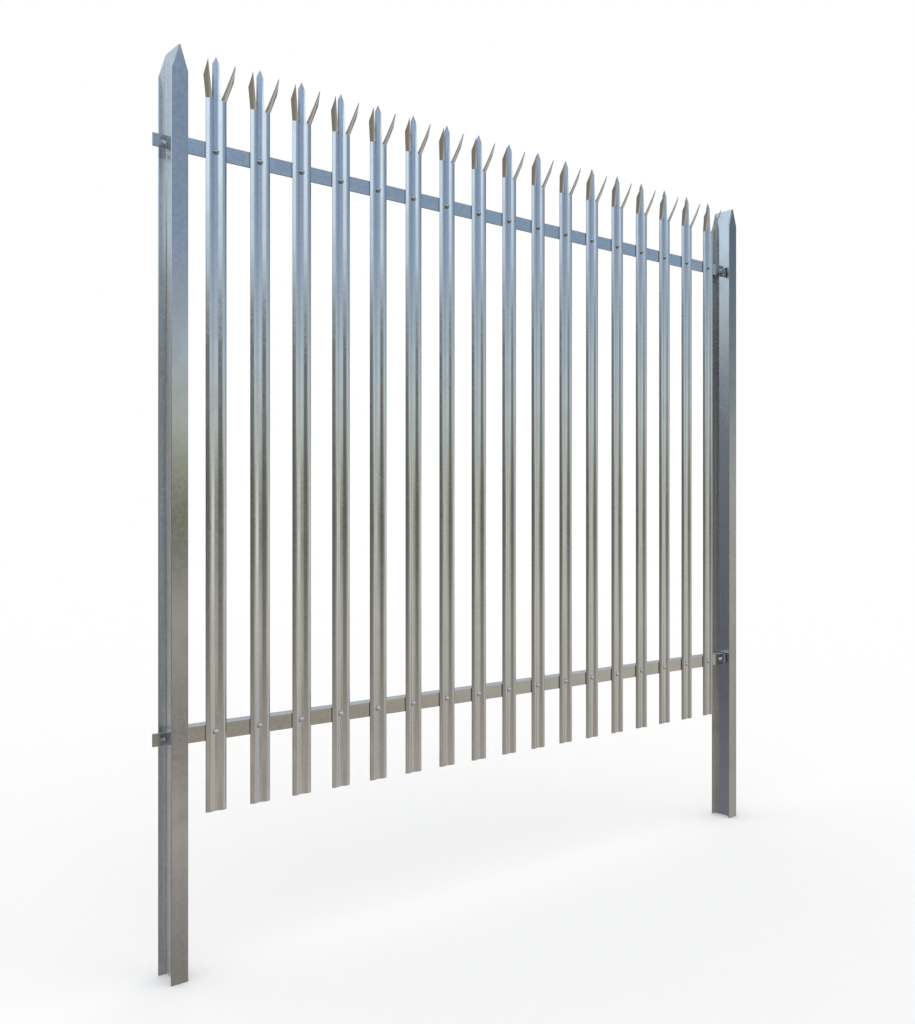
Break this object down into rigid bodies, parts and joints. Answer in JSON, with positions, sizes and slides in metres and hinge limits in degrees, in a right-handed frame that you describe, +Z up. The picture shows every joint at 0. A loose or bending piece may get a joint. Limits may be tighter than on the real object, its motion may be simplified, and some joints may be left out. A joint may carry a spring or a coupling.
{
  "type": "palisade fence",
  "caption": "Steel palisade fence bay: W-section pales with triple-pointed splayed heads bolted to angle rails, which fishplates join to pointed I-section posts.",
  "frame": {"origin": "middle of the bay at the foot of the posts, on the centre line of the post webs", "axes": "+X along the fence, to the right seen from the attack side; +Y towards the secure side; +Z up"},
  "size_m": [2.883, 0.1031, 2.865],
  "materials": {
    "post_steel": "hot-dip galvanised, smooth bright zinc with a fine spangle",
    "rail_steel": "hot-dip galvanised, smooth bright zinc",
    "pale_steel": "galvanised, cold rolled, smooth and bright along the folds",
    "plate_steel": "hot-dip galvanised, satin zinc",
    "fastener_steel": "galvanised, satin zinc"
  },
  "bodies": {
    "root": {"post_left": "post_steel", "post_right": "post_steel", "rail_top": "rail_steel", "rail_bottom": "rail_steel", "fishplate_left_top": "plate_steel", "fishplate_left_bottom": "plate_steel", "fishplate_right_top": "plate_steel", "fishplate_right_bottom": "plate_steel", "pale_01": "pale_steel", "pale_02": "pale_steel", "pale_03": "pale_steel", "pale_04": "pale_steel", "pale_05": "pale_steel", "pale_06": "pale_steel", "pale_07": "pale_steel", "pale_08": "pale_steel", "pale_09": "pale_steel", "pale_10": "pale_steel", "pale_11": "pale_steel", "pale_12": "pale_steel", "pale_13": "pale_steel", "pale_14": "pale_steel", "pale_15": "pale_steel", "pale_16": "pale_steel", "pale_17": "pale_steel", "pale_bolts_top": "fastener_steel", "cone_nuts_top": "fastener_steel", "pale_bolts_bottom": "fastener_steel", "cone_nuts_bottom": "fastener_steel", "rail_bolts": "fastener_steel", "rail_washers": "fastener_steel", "rail_nuts": "fastener_steel"}
  },
  "joints": []
}
